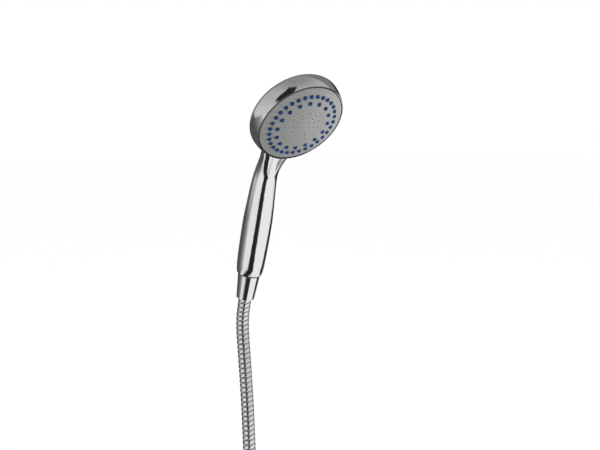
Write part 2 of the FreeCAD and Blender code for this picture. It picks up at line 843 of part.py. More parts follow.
def make_centre_disc():
    """Middle of the face: fine jets, and a boss behind that carries the turbine's axle."""
    disc = cylinder(centre_disc_radius, -face_skirt, face_rise).common(ball(0.0))
    flange = cylinder(centre_disc_radius + centre_flange_width, -face_skirt, face_rise)
    flange = flange.common(ball(face_wall + stack_gap))
    hollow = cylinder(centre_disc_radius - centre_flange_wall, -face_skirt, face_rise)
    hollow = hollow.common(ball(face_wall))
    low = turbine_top() + turbine_end_play
    boss = cylinder(hub_boss_radius, low, face_rise - face_wall / 2)
    disc = disc.fuse(flange).cut(ball(face_wall + centre_flange_wall)).cut(hollow).fuse(boss)
    disc = disc.cut(cylinder(axle_radius, low, low + pocket_depth))
    rings = zip(jet_ring_counts, jet_ring_radii)
    places = [place for count, radius in rings for place in around(count, radius)]
    return drilled(disc, jet_radius, places, -face_skirt, face_rise)


# ---- turbine
def turbine_bottom():
    return hub_cup_top + turbine_end_play


def turbine_top():
    return turbine_bottom() + turbine_height + shutter_wall


def make_turbine():
    """Vaned wheel with a half-moon shutter that chops the centre jets into pulses."""
    low = turbine_bottom()
    high = low + turbine_height
    hub = cylinder(turbine_hub_radius, low, turbine_top())
    rim = tube(turbine_radius, turbine_radius - turbine_rim_wall, low, high)
    half = vane_wall / 2
    start = turbine_hub_radius - half
    end = turbine_radius - turbine_rim_wall / 2
    middle = (start + end) / 2
    sides = [
        Part.Arc(Vector(start, -half, 0), Vector(middle, vane_bow - half, 0),
                 Vector(end, -half, 0)).toShape(),
        Part.makeLine(Vector(end, -half, 0), Vector(end, half, 0)),
        Part.Arc(Vector(end, half, 0), Vector(middle, vane_bow + half, 0),
                 Vector(start, half, 0)).toShape(),
        Part.makeLine(Vector(start, half, 0), Vector(start, -half, 0)),
    ]
    vane = Part.Face(Part.Wire(sides)).extrude(Vector(0, 0, turbine_height))
    vane = vane.translated(Vector(0, 0, low))
    vanes = [vane.rotated(CENTRE, UP, 360.0 * k / vane_count) for k in range(vane_count)]
    shutter = tube(turbine_radius, turbine_hub_radius + shutter_hub_gap, high, turbine_top())
    shutter = shutter.common(box(-turbine_radius, turbine_radius, 0, turbine_radius, high, turbine_top()))
    wheel = hub.fuse([rim, shutter] + vanes)
    return wheel.cut(cylinder(axle_radius + axle_bearing, low, turbine_top()))


def make_turbine_axle():
    return cylinder(axle_radius, hub_cup_top - pocket_depth, turbine_top() + turbine_end_play + pocket_depth)


# ---- hose ends, built from the hose's end face with Z away from the hose
def make_ferrule():
    """Sleeve crimped on the hose, with the flange that a nut pulls against."""
    face = ferrule_length + flange_wall
    return turned(
        (ferrule_bore, 0), (ferrule_radius, 0), (ferrule_radius, ferrule_length),
        (flange_radius, ferrule_length), (flange_radius, face), (ferrule_bore, face),
    )


def make_washer():
    face = ferrule_length + flange_wall
    return tube(washer_radius, washer_bore, face, face + washer_wall)


def make_screen():
    """Fine mesh disc held in the bore of the washer."""
    middle = ferrule_length + flange_wall + washer_wall / 2
    return cylinder(washer_bore - screen_fit, middle - screen_wall / 2, middle + screen_wall / 2)


def make_swivel_ring():
    """Slippery ring that lets the hose turn under the cone nut instead of twisting."""
    return tube(flange_radius, ferrule_radius + swivel_fit, ferrule_length - swivel_wall, ferrule_length)


def make_cone_nut():
    """Tapered nut that screws on the handle and wedges in the wall holder."""
    foot = -cone_cover
    top = hose_start_drop - nut_gap
    seat = ferrule_length - swivel_wall
    washer_top = ferrule_length + flange_wall + washer_wall
    inner = ferrule_radius + swivel_fit
    nut = turned(
        (inner, foot), (cone_foot_radius, foot), (cone_top_radius, top),
        (nut_bore_radius, top), (nut_bore_radius, washer_top),
        (washer_radius + washer_fit, washer_top), (washer_radius + washer_fit, seat), (inner, seat),
    )
    rims = [edge for edge in nut.Edges if is_outer_rim(edge)]
    return nut.makeFillet(cone_rounding, rims)


def is_outer_rim(edge):
    return is_circle(edge, cone_top_radius) or is_circle(edge, cone_foot_radius)


def make_hex_nut():
    """Half inch nut that stays loose on the far ferrule."""
    low = ferrule_length - hex_play - hex_back_wall
    washer_top = ferrule_length + flange_wall + washer_wall
    high = washer_top + hex_thread_length
    corner = hex_across_flats / 2 / math.cos(math.pi / 6)
    corners = [at_angle(corner, 60 * k, low) for k in range(7)]
    prism = Part.Face(Part.makePolygon(corners)).extrude(Vector(0, 0, hex_height))
    chamfer = corner - hex_across_flats / 2
    drum = turned(
        (0, low), (corner - chamfer, low), (corner, low + chamfer / 2),
        (corner, low + hex_height - chamfer / 2), (corner - chamfer, low + hex_height),
        (0, low + hex_height),
    )
    collar = cylinder(collar_radius, low + hex_height, high)
    inner = turned(
        (0, low), (ferrule_radius + swivel_fit, low), (ferrule_radius + swivel_fit, low + hex_back_wall),
        (washer_radius + washer_fit, low + hex_back_wall), (washer_radius + washer_fit, washer_top),
        (nut_bore_radius, washer_top), (nut_bore_radius, high), (0, high),
    )
    return prism.common(drum).fuse(collar).cut(inner)


# ---- hose
def hose_path(route):
    """Straight runs joined by arcs as large as the runs allow, and each arc's radius."""
    points = [Vector(*point) for point in route]
    edges = []
    radii = []
    start = points[0]
    for before, corner, after in zip(points, points[1:], points[2:]):
        back = before - corner
        ahead = after - corner
        turn = math.pi - back.getAngle(ahead)
        reach = arc_share * min(back.Length, ahead.Length)
        radius = reach / math.tan(turn / 2)
        enter = corner + unit(back) * reach
        leave = corner + unit(ahead) * reach
        inward = unit(unit(back) + unit(ahead))
        middle = corner + inward * (radius / math.cos(turn / 2) - radius)
        edges.append(Part.makeLine(start, enter))
        edges.append(Part.Arc(enter, middle, leave).toShape())
        radii.append(radius)
        start = leave
    edges.append(Part.makeLine(start, points[-1]))
    return Part.Wire(edges), radii


def make_hose_tube():
    """The stretch of hose that hangs free."""
    path, radii = hose_path(hose_route)
    heading = Vector(*hose_route[1]) - Vector(*hose_route[0])
    ring = Part.Wire(Part.Circle(Vector(*hose_route[0]), heading, hose_radius).toShape())
    hose = path.makePipeShell([ring], True, True)
    expected = math.pi * hose_radius**2 * path.Length
    print("hose arc radii", [round(radius, 1) for radius in radii])
    print("hose tube volume over section times length", round(hose.Volume / expected, 5))
    wound = coil_turns * math.hypot(2 * math.pi * coil_radius, coil_pitch)
    print("hose length", round(path.Length + wound + hose_tail_length, 1), "of", hose_length)
    return hose


coil_start = Vector(*hose_route[-1])
coil_centre = coil_start + Vector(coil_radius, 0, 0)
coil_end = coil_start + Vector(2 * coil_radius, coil_turns * coil_pitch, 0)


def coil_half_height():
    return hose_radius + coil_skin


def make_hose_coil():
    """Outer shape of the wound hose, with room for the strand that enters and the one that leaves."""
    half = coil_half_height()
    width = coil_turns * coil_pitch + 2 * half
    ring = tube(coil_radius + half, coil_radius - half, 0, width)
    rims = [e for e in ring.Edges if is_circle(e, coil_radius + half) or is_circle(e, coil_radius - half)]
    ring = ring.makeFillet(coil_rounding, rims)
    ring = ring.rotated(CENTRE, ACROSS, -quarter_turn).translated(coil_centre - Vector(0, half, 0))
    room = hose_radius + coil_pocket_gap
    reach = coil_radius
    entry = Part.makeCylinder(room, reach, coil_start)
    leaving = Part.makeCylinder(room, reach, coil_end)
    return ring.cut([entry, leaving])


def make_hose_tail():
    return Part.makeCylinder(hose_radius, hose_tail_length, coil_end)


def make_coil_tie():
    """Strap round the bottom of the coil."""
    half = coil_half_height() + tie_gap
    low = coil_centre.z - coil_radius
    near = coil_start.y - half
    far = coil_end.y + half
    left = coil_centre.x - tie_width / 2
    right = coil_centre.x + tie_width / 2
    room = half + sagitta(tie_width, coil_radius - half)
    outer = box(left, right, near - tie_wall, far + tie_wall, low - half - tie_wall, low + room + tie_wall)
    return outer.cut(box(left, right, near, far, low - half, low + room))


def sagitta(chord, radius):
    return radius - math.sqrt(radius**2 - (chord / 2) ** 2)


# ---- every node and the frame that it is built in
WORLD = FreeCAD.Placement()
HOSE_TOP = HANDLE.multiply(FreeCAD.Placement(Vector(0, 0, -hose_start_drop), FreeCAD.Rotation()))
HOSE_END = FreeCAD.Placement(coil_end + Vector(0, 0, hose_tail_length), FreeCAD.Rotation())

NODES = (
    ("housing", make_housing, WORLD),
    ("inlet_connector", make_inlet_connector, HANDLE),
    ("connector_seal", make_connector_seal, HANDLE),
    ("flow_limiter", make_flow_limiter, HANDLE),
    ("waterway_tube", make_waterway_tube, HANDLE),
    ("tube_seals", make_tube_seals, WORLD),
    ("manifold", make_manifold, HEAD),
    ("manifold_screws", make_manifold_screws, HEAD),
    ("port_seal", make_port_seal, HEAD),
    ("port_spring", make_port_spring, HEAD),
    ("click_spring", make_click_spring, HEAD),
    ("pivot_screw", make_pivot_screw, HEAD),
    ("pivot_washer", make_pivot_washer, HEAD),
    ("distributor", make_distributor, HEAD),
    ("chamber_plate", make_chamber_plate, HEAD),
    ("nozzle_mat", make_nozzle_mat, HEAD),
    ("face_plate", make_face_plate, HEAD),
    ("centre_disc", make_centre_disc, HEAD),
    ("turbine", make_turbine, HEAD),
    ("turbine_axle", make_turbine_axle, HEAD),
    ("cone_nut", make_cone_nut, HOSE_TOP),
    ("swivel_ring", make_swivel_ring, HOSE_TOP),
    ("top_ferrule", make_ferrule, HOSE_TOP),
    ("top_washer", make_washer, HOSE_TOP),
    ("filter_screen", make_screen, HOSE_TOP),
    ("hose_tube", make_hose_tube, WORLD),
    ("hose_coil", make_hose_coil, WORLD),
    ("coil_tie", make_coil_tie, WORLD),
    ("hose_tail", make_hose_tail, WORLD),
    ("end_ferrule", make_ferrule, HOSE_END),
    ("end_washer", make_washer, HOSE_END),
    ("hex_nut", make_hex_nut, HOSE_END),
)


def main():
    os.makedirs("parts", exist_ok=True)
    for name, make, frame in NODES:
        shape = make()
        shape.Placement = frame.multiply(shape.Placement)
        shape.exportStep(f"parts/{name}.step")
        size = shape.BoundBox
        print(f"{name:16s} valid {shape.isValid()} solids {len(shape.Solids)} volume {shape.Volume:10.1f}"
              f"  {size.XLength:6.1f} {size.YLength:6.1f} {size.ZLength:6.1f}")


main()
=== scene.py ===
# This lesson dresses them: it sets up a camera and a small studio, winds the spiral hose along its
# route, sweeps a thread into the far nut, and gives every piece a finish made of shader nodes.
# Blender's own cube, lamp and camera are cleared away first.

# %% Load the frame
import json
import math

import bmesh
import bpy
import numpy as np
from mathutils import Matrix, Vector

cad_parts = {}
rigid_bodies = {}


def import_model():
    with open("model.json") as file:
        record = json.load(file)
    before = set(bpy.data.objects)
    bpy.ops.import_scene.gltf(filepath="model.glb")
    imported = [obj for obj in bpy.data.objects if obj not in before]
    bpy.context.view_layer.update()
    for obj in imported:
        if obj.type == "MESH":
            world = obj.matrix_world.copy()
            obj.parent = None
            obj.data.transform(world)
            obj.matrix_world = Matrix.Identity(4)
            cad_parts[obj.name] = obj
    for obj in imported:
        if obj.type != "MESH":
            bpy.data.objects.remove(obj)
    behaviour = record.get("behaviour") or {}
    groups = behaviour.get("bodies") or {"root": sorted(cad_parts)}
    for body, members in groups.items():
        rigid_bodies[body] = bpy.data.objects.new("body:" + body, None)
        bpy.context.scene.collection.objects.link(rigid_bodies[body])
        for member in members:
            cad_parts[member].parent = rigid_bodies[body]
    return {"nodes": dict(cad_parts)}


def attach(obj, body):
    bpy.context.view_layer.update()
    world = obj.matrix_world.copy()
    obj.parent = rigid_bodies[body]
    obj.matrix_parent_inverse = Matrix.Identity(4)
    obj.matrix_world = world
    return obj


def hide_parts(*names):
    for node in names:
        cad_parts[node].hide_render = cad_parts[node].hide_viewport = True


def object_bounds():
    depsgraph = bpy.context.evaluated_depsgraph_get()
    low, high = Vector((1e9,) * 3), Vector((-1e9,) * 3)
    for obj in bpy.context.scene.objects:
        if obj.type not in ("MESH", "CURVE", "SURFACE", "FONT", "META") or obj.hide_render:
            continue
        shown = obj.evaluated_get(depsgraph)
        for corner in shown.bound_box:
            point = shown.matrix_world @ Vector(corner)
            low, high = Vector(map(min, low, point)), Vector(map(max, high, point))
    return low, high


for leftover in list(bpy.data.objects):
    bpy.data.objects.remove(leftover)
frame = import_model()
cad_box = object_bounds()
nodes = frame["nodes"]
MM = 0.001
rounded_box = [[round(v, 3) for v in corner] for corner in cad_box]
print("the frame has", len(nodes), "pieces; its box in metres:", rounded_box)

# %% [markdown]
# The camera comes first, because everything else is judged through it. It stands to the front
# left, about a metre away and as high as the head, and looks slightly down. The lens is a short
# telephoto, which keeps the round head from looking stretched.

# %% Camera
CAMERA_PLACE = (-0.567, -0.905, 0.154)
CAMERA_AZIMUTH = 35.0  # degrees to the left of straight on
CAMERA_DROP = 5.5  # degrees below level
LENS_MM = 60.0
SENSOR_MM = 36.0

camera_data = bpy.data.cameras.new("camera")
camera_data.lens = LENS_MM
camera_data.sensor_width = SENSOR_MM
camera = bpy.data.objects.new("camera", camera_data)
camera.location = CAMERA_PLACE
camera.rotation_euler = (math.radians(90 - CAMERA_DROP), 0, math.radians(-CAMERA_AZIMUTH))
bpy.context.scene.collection.objects.link(camera)
bpy.context.scene.camera = camera
print("camera at", CAMERA_PLACE, "with a", LENS_MM, "mm lens")

# %% [markdown]
# The hose is one fixed length of a bendy thing, so its line is settled before its surface. A
# NURBS curve of order 3 runs near a few listed points and never kinks. From the cone nut it
# carries on in the handle's line, swings back under the nut and hangs straight down.

# %% Hanging stretch of the hose
HOSE_RADIUS = 7.0 * MM
hanging_route = [
    (0.0, 0.00792, -0.02623),
    (0.0, 0.01364, -0.04519),
    (0.0, 0.0148, -0.0636),
    (0.0, 0.0103, -0.0974),
    (0.0, 0.0035, -0.1594),
    (0.0, -0.0008, -0.241),
    (0.0, -0.0008, -0.319),
]
print("the hose hangs down to", hanging_route[-1][2], "m before it is wound")

# %% [markdown]
# The part of the hose that isn't needed is wound into a neat coil, and a short tail with the far
# nut stands up from it. The coil's points come from a loop. They lie a little outside the circle
# of each turn, because a NURBS curve cuts its corners, and so the curve itself lies on the circle.

# %% Wound stretch and tail
COIL_RADIUS = 73.4 * MM
COIL_TURNS = 2.5
COIL_PITCH = 15.0 * MM
COIL_POINTS_PER_TURN = 16
TAIL_LENGTH = 54.0 * MM
TAIL_POINTS = (0.4, 1.0)  # as shares of the tail's length


def coil_route(start):
    """The points of the coil, turn after turn, from the place where the hose reaches it."""
    step = 2 * math.pi / COIL_POINTS_PER_TURN
    reach = COIL_RADIUS / math.cos(step / 2)
    centre_x = start.x + COIL_RADIUS
    points = []
    for k in range(int(COIL_TURNS * COIL_POINTS_PER_TURN)):
        turned = (k + 0.5) * step
        x = centre_x - reach * math.cos(turned)
        y = start.y + COIL_PITCH * turned / (2 * math.pi)
        z = start.z - reach * math.sin(turned)
        points.append((x, y, z))
    return points


coil_start = Vector(hanging_route[-1])
coil_end = coil_start + Vector((2 * COIL_RADIUS, COIL_TURNS * COIL_PITCH, 0))
tail_route = [tuple(coil_end + Vector((0, 0, share * TAIL_LENGTH))) for share in TAIL_POINTS]
hose_route = hanging_route + coil_route(coil_start) + tail_route
print("route points:", len(hose_route))

# %% [markdown]
# Blender draws the curve through the route points, and the drawn points are read back as the
# hose's real line. The curve has then done its work and is removed.

# %% Hose line
CURVE_STEPS = 10  # drawn points from one route point to the next

hose_curve = bpy.data.curves.new("hose_line", "CURVE")
hose_curve.dimensions = "3D"
hose_curve.resolution_u = CURVE_STEPS
spline = hose_curve.splines.new("NURBS")
spline.points.add(len(hose_route) - 1)
for point, place in zip(spline.points, hose_route):
    point.co = (*place, 1.0)
spline.order_u = 3
spline.use_endpoint_u = True
hose_line = bpy.data.objects.new("hose_line", hose_curve)
bpy.context.scene.collection.objects.link(hose_line)


def points_along(curve_object):
    """The points of a curve as Blender draws it."""
    bpy.context.view_layer.update()
    drawn = bpy.data.meshes.new_from_object(curve_object)
    points = np.array([vertex.co for vertex in drawn.vertices])
    bpy.data.meshes.remove(drawn)
    return points


hose_points = points_along(hose_line)
bpy.data.objects.remove(hose_line)

# %% [markdown]
# A shower hose of this kind is a steel strip wound in a tight spiral, so its surface is one long
# rounded bead with a dark groove beside it. The mesh will be a tube of many rings. This step
# finds the middle of each ring, evenly spaced along the line, and two directions square to the
# line. They are carried from ring to ring without twisting, so the spiral stays even round bends.

# %% Rings along the hose
BEAD_PITCH = 5.25 * MM
RINGS_PER_BEAD = 9


def resampled(points, spacing):
    """The same line with evenly spaced points, and the distance of each along it."""
    steps = np.linalg.norm(np.diff(points, axis=0), axis=1)
    along = np.concatenate([[0.0], np.cumsum(steps)])
    count = int(round(along[-1] / spacing)) + 1
    wanted = np.linspace(0.0, along[-1], count)
    even = np.stack([np.interp(wanted, along, points[:, axis]) for axis in range(3)], axis=1)
    return even, wanted


def carried_frames(points):
    """Two directions square to the line at each point, carried along it without twisting."""
    tangents = np.gradient(points, axis=0)
    tangents /= np.linalg.norm(tangents, axis=1)[:, None]
    side = np.cross(tangents[0], (0.0, 1.0, 0.0))
    side /= np.linalg.norm(side)
    sides = []
    for tangent in tangents:
        side = side - tangent * side.dot(tangent)
        side /= np.linalg.norm(side)
        sides.append(side)
    sides = np.array(sides)
    return sides, np.cross(tangents, sides)


ring_centres, ring_distances = resampled(hose_points, BEAD_PITCH / RINGS_PER_BEAD)
ring_sides, ring_ups = carried_frames(ring_centres)
print("rings along the hose:", len(ring_centres))

# %% [markdown]
# The tube's radius rises and falls with the distance along the hose and the angle round it
# together, which is what makes the bead a helix. An attribute remembers how deep in the groove
# each point lies, for the material to use.

# %% Spiral hose
GROOVE_DEPTH = 1.0 * MM
GROOVE_SHARE = 0.13  # of the pitch, half the groove's width
BEAD_CROWN = 0.28 * MM  # how far the bead falls from its middle to the groove
SIDES = 22


def bead_profile(angles):
    """The radius at each point of each ring, and how deep in the groove it is, from 0 to 1."""
    turn = (ring_distances[:, None] / BEAD_PITCH - angles[None, :] / (2 * math.pi)) % 1.0
    from_middle = np.abs(turn - 0.5) * 2
    groove = np.clip((from_middle - (1 - 2 * GROOVE_SHARE)) / (2 * GROOVE_SHARE), 0, 1)
    groove = groove * groove * (3 - 2 * groove)
    radius = HOSE_RADIUS - BEAD_CROWN * from_middle**2 - (GROOVE_DEPTH - BEAD_CROWN) * groove
    return radius, groove


def make_hose():
    angles = 2 * math.pi * np.arange(SIDES) / SIDES
    radius, groove = bead_profile(angles)
    sideways = np.cos(angles)[None, :, None] * ring_sides[:, None, :]
    upwards = np.sin(angles)[None, :, None] * ring_ups[:, None, :]
    verts = ring_centres[:, None, :] + radius[:, :, None] * (sideways + upwards)
    verts = verts.reshape(-1, 3)
    faces = []
    for ring in range(len(ring_centres) - 1):
        for k in range(SIDES):
            a = ring * SIDES + k
            b = ring * SIDES + (k + 1) % SIDES
            faces.append((a, a + SIDES, b + SIDES, b))
    faces.append(tuple(range(SIDES)))
    faces.append(tuple(reversed(range(len(verts) - SIDES, len(verts)))))
    mesh = bpy.data.meshes.new("spiral_hose")
    mesh.from_pydata([tuple(v) for v in verts], [], faces)
    mesh.polygons.foreach_set("use_smooth", [True] * len(mesh.polygons))
    depth = mesh.attributes.new("groove", "FLOAT", "POINT")
    depth.data.foreach_set("value", groove.reshape(-1).astype(np.float32))
    hose = bpy.data.objects.new("spiral_hose", mesh)
    bpy.context.scene.collection.objects.link(hose)
    return hose


spiral_hose = make_hose()

# The faces' order doesn't say which side is outside, so the normals are worked out from the shape.
with_normals = bmesh.new()
with_normals.from_mesh(spiral_hose.data)
bmesh.ops.recalc_face_normals(with_normals, faces=with_normals.faces)
with_normals.to_mesh(spiral_hose.data)
with_normals.free()
print("hose faces:", len(spiral_hose.data.polygons))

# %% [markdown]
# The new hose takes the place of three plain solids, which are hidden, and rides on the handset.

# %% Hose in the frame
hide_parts("hose_tube", "hose_coil", "hose_tail")
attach(spiral_hose, "handset")
print("the hose stands for hose_tube, hose_coil and hose_tail")

# %% [markdown]
# The hex nut screws onto a pipe, so its bore needs a thread. A real one is cut with a tap; here a
# triangle is swept round the nut's axis by a Screw modifier, which lifts it by one pitch a turn.
# The triangle's base sits in the nut's wall, so that only the ridge shows, and its two ends are
# closed in edit mode.

# %% Nut thread
THREAD_PITCH = 1.814 * MM
THREAD_TURNS = 4
THREAD_STEPS = 48  # in one turn
THREAD_RIDGE = 0.9 * MM
BORE_RADIUS = 10.55 * MM
NUT_AXIS = (0.1468, 0.0367)
NUT_TOP = -0.2413


def make_thread():
    bpy.ops.object.select_all(action="DESELECT")
    bpy.ops.mesh.primitive_circle_add(
        vertices=3, radius=THREAD_RIDGE, fill_type="NOTHING", location=(0, 0, 0)
    )
    thread = bpy.context.object
    thread.name = "nut_thread"
    bpy.ops.object.mode_set(mode="EDIT")
    bpy.ops.mesh.select_all(action="SELECT")
    quarter_turn = math.pi / 2
    bpy.ops.transform.rotate(value=quarter_turn, orient_axis="X", center_override=(0, 0, 0))
    bpy.ops.transform.rotate(value=-quarter_turn, orient_axis="Y", center_override=(0, 0, 0))
    bpy.ops.transform.translate(value=(BORE_RADIUS, 0, 0))
    bpy.ops.object.mode_set(mode="OBJECT")
    winding = thread.modifiers.new("winding", "SCREW")
    winding.axis = "Z"
    winding.iterations = THREAD_TURNS
    winding.screw_offset = THREAD_PITCH
    winding.steps = THREAD_STEPS
    winding.render_steps = THREAD_STEPS
    bpy.ops.object.modifier_apply(modifier="winding")
    bpy.ops.object.mode_set(mode="EDIT")
    bpy.ops.mesh.select_all(action="DESELECT")
    bpy.ops.mesh.select_non_manifold()  # finds the edges of the two open ends
    bpy.ops.mesh.edge_face_add()
    bpy.ops.mesh.select_all(action="SELECT")
    bpy.ops.mesh.normals_make_consistent(inside=False)
    height = THREAD_TURNS * THREAD_PITCH
    bpy.ops.transform.translate(value=(*NUT_AXIS, NUT_TOP - height - THREAD_RIDGE))
    bpy.ops.object.mode_set(mode="OBJECT")
    return thread


nut_thread = make_thread()
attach(nut_thread, "hex_nut")
print("thread faces:", len(nut_thread.data.polygons))

# %% [markdown]
# Shader nodes are easier to read as sums. `Value` wraps one socket, and its operators add Math
# nodes, so a mask can be written as `1 - mask * 0.3`. Each operator has its reflected form, which
# Python calls when the plain number comes first.

# %% Sums of sockets
class Value:
    """One number that varies over a surface. Sums with it add Math nodes."""

    def __init__(self, tree, socket):
        self.tree = tree
        self.socket = socket

    def __add__(self, other):
        return self.tree.maths("ADD", self, other)

    def __radd__(self, other):
        return self.tree.maths("ADD", other, self)

    def __sub__(self, other):
        return self.tree.maths("SUBTRACT", self, other)

    def __rsub__(self, other):
        return self.tree.maths("SUBTRACT", other, self)

    def __mul__(self, other):
        return self.tree.maths("MULTIPLY", self, other)

    def __rmul__(self, other):
        return self.tree.maths("MULTIPLY", other, self)

    def __truediv__(self, other):
        return self.tree.maths("DIVIDE", self, other)


operators = [name for name, what in vars(Value).items() if callable(what) and name != "__init__"]
print("sums that a Value knows:", operators)

# %% [markdown]
# `Tree` adds the nodes themselves. Its `node` method makes any kind of node, with its settings
# first and its inputs after them, and `between` gives the soft steps that most masks are made of.

# %% Node trees
class Tree:
    """The nodes of one material, or of the world."""

    def __init__(self, node_tree):
        self.nodes = node_tree.nodes
        self.links = node_tree.links

    def node(self, kind, settings=None, inputs=None, output=0):
        """Adds a node: first its settings, then its inputs. Gives one of its outputs."""
        added = self.nodes.new(kind)
        for name, value in (settings or {}).items():
            setattr(added, name, value)
        for name, value in (inputs or {}).items():
            self.feed(added.inputs[name], value)
        return Value(self, added.outputs[output])

    def feed(self, socket, value):
        """Links a Value to a socket, or writes a plain value in it."""
        if isinstance(value, Value):
            self.links.new(value.socket, socket)
        else:
            socket.default_value = value

    def maths(self, operation, *terms):
        return self.node("ShaderNodeMath", {"operation": operation}, dict(enumerate(terms)))

    def between(self, low, high, value):
        """Climbs smoothly from 0 to 1 as the value goes from low to high."""
        levels = {"Value": value, "From Min": low, "From Max": high}
        return self.node("ShaderNodeMapRange", {"interpolation_type": "SMOOTHSTEP"}, levels)

    def within(self, low, high, soft, value):
        """1 between two levels and 0 outside them, with soft edges."""
        rise = self.between(low - soft / 2, low + soft / 2, value)
        fall = self.between(high - soft / 2, high + soft / 2, value)
        return rise * (1 - fall)

    def grey(self, level):
        """A colour with the same level in its three channels."""
        return self.node("ShaderNodeCombineColor", inputs={0: level, 1: level, 2: level})


print("a Tree can add any node, with its settings and inputs")

# %% [markdown]
# `Finish` owns one material, with its Principled shader at hand. What is the same all over a
# surface is set on the shader's socket when the finish is made, and what varies is fed to it later.

# %% Finishes
class Finish(Tree):
    """One material, with its Principled shader at hand."""

    def __init__(self, name, **constants):
        self.material = bpy.data.materials.new(name)
        self.material.use_nodes = True
        super().__init__(self.material.node_tree)
        self.shader = self.nodes["Principled BSDF"]
        for socket, value in constants.items():
            self.shader.inputs[socket.replace("_", " ")].default_value = value

    def set(self, socket, value):
        """Feeds one of the shader's own sockets."""
        self.feed(self.shader.inputs[socket], value)

    def place(self):
        return self.node("ShaderNodeTexCoord", output="Object")

    def axes(self):
        """The place on the object, as its three numbers."""
        spread = self.node("ShaderNodeSeparateXYZ", inputs={"Vector": self.place()})
        return [Value(self, socket) for socket in spread.socket.node.outputs]

    def noise(self, scale, detail=2.0, roughness=0.5):
        """Cloudy noise on the object, with about `scale` patches in a metre."""
        levels = {
            "Vector": self.place(), "Scale": scale, "Detail": detail, "Roughness": roughness,
        }
        return self.node("ShaderNodeTexNoise", inputs=levels)

    def mix(self, share, first, second):
        """Mixes two colours."""
        inputs = {0: share, 6: (*first, 1.0), 7: (*second, 1.0)}
        return self.node("ShaderNodeMix", {"data_type": "RGBA"}, inputs, output=2)

    def bump(self, height, distance):
        levels = {"Height": height, "Distance": distance}
        self.set("Normal", self.node("ShaderNodeBump", inputs=levels, output="Normal"))


def wear(piece, finish):
    """Gives a piece, CAD or new, one material all over."""
    piece.data.materials.clear()
    piece.data.materials.append(finish.material)


print("a Finish starts with one Principled shader")

# %% [markdown]
# Chrome plate is a mirror, so nearly all of its look comes from what it mirrors. But plating
# doesn't reach into narrow places, and two masks make it rough and not metallic there, with a
# near-black painted shade in its colour. The first covers the head's inner wall and lip beside the
# spray face. It is worked out from the face's own axis: how far a point is in front of the face's
# plane, and how far from its middle.

# %% Painted shade on the lip of the head
HEAD_CENTRE = Vector((0.0, -97.144, 158.800)) * MM
FACE_DROP = math.radians(130.8)  # from straight up to the way that the spray points
BORE_EDGE = 46.0 * MM
LIP_WIDTH = 0.45 * MM
LIP_FADE = (20.0 * MM, 36.0 * MM)  # right of the middle, where the painted shade fades out
MOUTH_DEPTH = 13.5 * MM
MOUTH_FRONT = 1.0 * MM
RADIUS_SOFT = 0.1 * MM
DEPTH_SOFT = 0.2 * MM


def inside_mouth(finish):
    """Painted shade: 1 on the head's inner wall and lip, less towards the right, 0 elsewhere."""
    x, y, z = finish.axes()
    back = y - HEAD_CENTRE.y
    rise = z - HEAD_CENTRE.z
    forward = back * -math.sin(FACE_DROP) + rise * math.cos(FACE_DROP)
    up = back * math.cos(FACE_DROP) + rise * math.sin(FACE_DROP)
    radius = finish.maths("SQRT", x * x + up * up)
    lip_edge = BORE_EDGE + LIP_WIDTH
    in_bore = 1 - finish.between(BORE_EDGE - RADIUS_SOFT, BORE_EDGE, radius)
    shaded_lip = 1 - finish.between(lip_edge - RADIUS_SOFT, lip_edge, radius)
    # The painted shade fades out towards the right, where the lip is lit.
    lit_right_side = finish.between(*LIP_FADE, x)
    shaded = finish.maths("MAXIMUM", in_bore, shaded_lip) * (1 - lit_right_side)
    return shaded * finish.within(-MOUTH_DEPTH, MOUTH_FRONT, DEPTH_SOFT, forward)


print("the lip is dull out to", round((BORE_EDGE + LIP_WIDTH) / MM, 2), "mm from the middle")

# %% [markdown]
# The second mask is the thin shadow line where the cone nut meets the handle's end. It is a band
# across the handle's own direction, which leans back from straight up.

# %% Shadow line at the joint
HANDLE_TILT = math.radians(16.8)
JOINT_LOW = -1.5 * MM
JOINT_HIGH = 0.45 * MM
JOINT_SOFT = 0.3 * MM


def beside_joint(finish):
    """1 in the narrow shadow line where the cone nut meets the handle's end."""
    x, y, z = finish.axes()
    up_handle = z * math.cos(HANDLE_TILT) - y * math.sin(HANDLE_TILT)
    return finish.within(JOINT_LOW, JOINT_HIGH, JOINT_SOFT, up_handle)


print("the line at the joint is", round((JOINT_HIGH - JOINT_LOW) / MM, 2), "mm wide")

# %% [markdown]
# What belongs to the plate itself is slight: small spots where hard water has dried, and a faint
# film that wiping leaves. Both only roughen the mirror a little. The housing is the most polished
# piece, and the two nuts are a shade duller, because hands and spanners touch them.

# %% Chrome
WATER_SPOTS = 260.0  # patches in a metre
WIPED_FILM = 28.0
PLATE_COLOUR = (0.86, 0.865, 0.87)
# The near-black of the painted shade on the head's lip and in the shadow line at the joint.
PAINTED_SHADE_COLOUR = (0.03, 0.03, 0.03)


def make_chrome(name, roughness, haze):
    chrome = Finish(name)
    spots = chrome.between(0.56, 0.72, chrome.noise(WATER_SPOTS, 3.0, 0.6))
    film = chrome.between(0.45, 0.75, chrome.noise(WIPED_FILM))
    # Painted shade: both masks turn the chrome near-black, rougher and not metallic.
    painted_shade = chrome.maths("MAXIMUM", inside_mouth(chrome), beside_joint(chrome))
    chrome.set("Base Color", chrome.mix(painted_shade, PLATE_COLOUR, PAINTED_SHADE_COLOUR))
    chrome.set("Metallic", 1 - painted_shade)
    chrome.set("Roughness", roughness + spots * haze + film * haze * 0.6 + painted_shade * 0.4)
    return chrome


polished_chrome = make_chrome("polished_chrome", 0.035, 0.05)
nut_chrome = make_chrome("nut_chrome", 0.05, 0.06)
wear(nodes["housing"], polished_chrome)
for piece in (nodes["cone_nut"], nodes["hex_nut"], nut_thread):
    wear(piece, nut_chrome)
print("chromed: housing, cone_nut, hex_nut, nut_thread")
